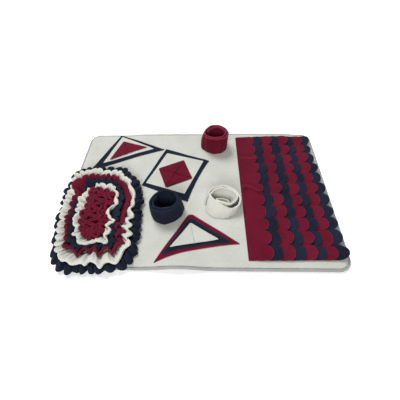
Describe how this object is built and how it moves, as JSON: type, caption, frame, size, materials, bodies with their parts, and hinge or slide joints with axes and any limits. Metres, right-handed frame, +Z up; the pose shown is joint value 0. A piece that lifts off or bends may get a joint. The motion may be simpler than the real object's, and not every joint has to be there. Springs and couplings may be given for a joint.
{
  "type": "dog activity mat",
  "caption": "Padded fleece play mat for dogs with overlapping scalloped flaps, folded envelope pockets, rolled cups and an oval ruffled rosette for hiding treats.",
  "frame": {"origin": "middle of the flat underside, on the floor", "axes": "+X along the mat's long side towards the scalloped rows, +Y away from the front edge towards the tall cup, +Z up"},
  "size_m": [0.9536, 0.6365, 0.0898],
  "materials": {
    "off_white_fleece": "matte brushed fleece",
    "cream_fleece": "matte brushed fleece",
    "crimson_fleece": "matte brushed fleece",
    "navy_fleece": "matte brushed fleece",
    "grey_backing_cloth": "matte woven backing cloth",
    "white_wadding": "loose polyester wadding"
  },
  "bodies": {
    "root": {"back_triangle_border": "navy_fleece", "back_triangle_field": "off_white_fleece", "back_triangle_pocket_base": "crimson_fleece", "bottom_cover": "grey_backing_cloth", "core_ruffle_inner": "crimson_fleece", "core_ruffle_outer": "crimson_fleece", "core_ruffle_spine": "crimson_fleece", "cream_cup": "cream_fleece", "crimson_cup": "crimson_fleece", "front_triangle_border": "crimson_fleece", "front_triangle_field": "navy_fleece", "front_triangle_pocket_base": "off_white_fleece", "navy_cup": "navy_fleece", "padding": "white_wadding", "rosette_backing": "off_white_fleece", "ruffle_1_navy": "navy_fleece", "ruffle_2_cream": "cream_fleece", "ruffle_3_crimson": "crimson_fleece", "ruffle_4_navy": "navy_fleece", "ruffle_5_cream": "cream_fleece", "scale_row_1_crimson_sewn_edge": "crimson_fleece", "scale_row_2_navy_sewn_edge": "navy_fleece", "scale_row_3_crimson_sewn_edge": "crimson_fleece", "scale_row_4_navy_sewn_edge": "navy_fleece", "scale_row_5_crimson_sewn_edge": "crimson_fleece", "scale_row_6_navy_sewn_edge": "navy_fleece", "scale_row_7_crimson_sewn_edge": "crimson_fleece", "scale_row_8_navy_sewn_edge": "navy_fleece", "square_border": "navy_fleece", "square_field": "off_white_fleece", "square_pocket_base": "crimson_fleece", "top_cover": "off_white_fleece"},
    "back_triangle_flap_left_body": {"back_triangle_flap_left": "crimson_fleece"},
    "back_triangle_flap_right_body": {"back_triangle_flap_right": "crimson_fleece"},
    "front_triangle_flap_left_body": {"front_triangle_flap_left": "off_white_fleece"},
    "front_triangle_flap_right_body": {"front_triangle_flap_right": "off_white_fleece"},
    "scale_row_1_crimson_flap_body": {"scale_row_1_crimson_flap": "crimson_fleece"},
    "scale_row_2_navy_flap_body": {"scale_row_2_navy_flap": "navy_fleece"},
    "scale_row_3_crimson_flap_body": {"scale_row_3_crimson_flap": "crimson_fleece"},
    "scale_row_4_navy_flap_body": {"scale_row_4_navy_flap": "navy_fleece"},
    "scale_row_5_crimson_flap_body": {"scale_row_5_crimson_flap": "crimson_fleece"},
    "scale_row_6_navy_flap_body": {"scale_row_6_navy_flap": "navy_fleece"},
    "scale_row_7_crimson_flap_body": {"scale_row_7_crimson_flap": "crimson_fleece"},
    "scale_row_8_navy_flap_body": {"scale_row_8_navy_flap": "navy_fleece"},
    "square_flap_back_left_body": {"square_flap_back_left": "crimson_fleece"},
    "square_flap_back_right_body": {"square_flap_back_right": "crimson_fleece"},
    "square_flap_front_left_body": {"square_flap_front_left": "crimson_fleece"},
    "square_flap_front_right_body": {"square_flap_front_right": "crimson_fleece"}
  },
  "joints": [
    {"name": "back_triangle_flap_left_hinge", "type": "hinge", "parent": "root", "child": "back_triangle_flap_left_body", "pos_m": [-0.34046, 0.19804, 0.0242], "axis": [-0.3256, -0.9455, 0], "range_deg": [0, 165]},
    {"name": "back_triangle_flap_right_hinge", "type": "hinge", "parent": "root", "child": "back_triangle_flap_right_body", "pos_m": [-0.27052, 0.23215, 0.0242], "axis": [-0.9455, 0.3256, 0], "range_deg": [0, 165]},
    {"name": "front_triangle_flap_left_hinge", "type": "hinge", "parent": "root", "child": "front_triangle_flap_left_body", "pos_m": [-0.05149, -0.19499, 0.02691], "axis": [-0.5513, -0.8329, 0.0493], "range_deg": [0, 150]},
    {"name": "front_triangle_flap_right_hinge", "type": "hinge", "parent": "root", "child": "front_triangle_flap_right_body", "pos_m": [0.02469, -0.17949, 0.0242], "axis": [-0.8339, 0.5519, 0], "range_deg": [0, 150]},
    {"name": "scale_row_1_crimson_flap_hinge", "type": "hinge", "parent": "root", "child": "scale_row_1_crimson_flap_body", "pos_m": [0.16798, -0.00133, 0.01804], "axis": [0.0122, -0.9999, 0], "range_deg": [0, 105]},
    {"name": "scale_row_2_navy_flap_hinge", "type": "hinge", "parent": "root", "child": "scale_row_2_navy_flap_body", "pos_m": [0.23918, -0.00046, 0.02093], "axis": [0.0122, -0.9999, 0], "range_deg": [0, 135]},
    {"name": "scale_row_3_crimson_flap_hinge", "type": "hinge", "parent": "root", "child": "scale_row_3_crimson_flap_body", "pos_m": [0.27148, -0.00006, 0.02093], "axis": [0.0122, -0.9999, 0], "range_deg": [0, 135]},
    {"name": "scale_row_4_navy_flap_hinge", "type": "hinge", "parent": "root", "child": "scale_row_4_navy_flap_body", "pos_m": [0.30378, 0.00033, 0.02093], "axis": [0.0122, -0.9999, 0], "range_deg": [0, 135]},
    {"name": "scale_row_5_crimson_flap_hinge", "type": "hinge", "parent": "root", "child": "scale_row_5_crimson_flap_body", "pos_m": [0.33608, 0.00073, 0.02093], "axis": [0.0122, -0.9999, 0], "range_deg": [0, 135]},
    {"name": "scale_row_6_navy_flap_hinge", "type": "hinge", "parent": "root", "child": "scale_row_6_navy_flap_body", "pos_m": [0.36838, 0.00112, 0.02093], "axis": [0.0122, -0.9999, 0], "range_deg": [0, 135]},
    {"name": "scale_row_7_crimson_flap_hinge", "type": "hinge", "parent": "root", "child": "scale_row_7_crimson_flap_body", "pos_m": [0.40068, 0.00152, 0.02093], "axis": [0.0122, -0.9999, 0], "range_deg": [0, 135]},
    {"name": "scale_row_8_navy_flap_hinge", "type": "hinge", "parent": "root", "child": "scale_row_8_navy_flap_body", "pos_m": [0.43298, 0.00191, 0.02093], "axis": [0.0122, -0.9999, 0], "range_deg": [0, 135]},
    {"name": "square_flap_back_left_hinge", "type": "hinge", "parent": "root", "child": "square_flap_back_left_body", "pos_m": [-0.10683, 0.11702, 0.0242], "axis": [-0.9093, -0.4162, 0], "range_deg": [0, 165]},
    {"name": "square_flap_back_right_hinge", "type": "hinge", "parent": "root", "child": "square_flap_back_right_body", "pos_m": [-0.04211, 0.09295, 0.0242], "axis": [-0.3655, 0.9308, 0], "range_deg": [0, 165]},
    {"name": "square_flap_front_left_hinge", "type": "hinge", "parent": "root", "child": "square_flap_front_left_body", "pos_m": [-0.13581, 0.05006, 0.0242], "axis": [0.3655, -0.9308, 0], "range_deg": [0, 165]},
    {"name": "square_flap_front_right_hinge", "type": "hinge", "parent": "root", "child": "square_flap_front_right_body", "pos_m": [-0.07109, 0.02599, 0.0242], "axis": [0.9093, 0.4162, 0], "range_deg": [0, 165]}
  ]
}
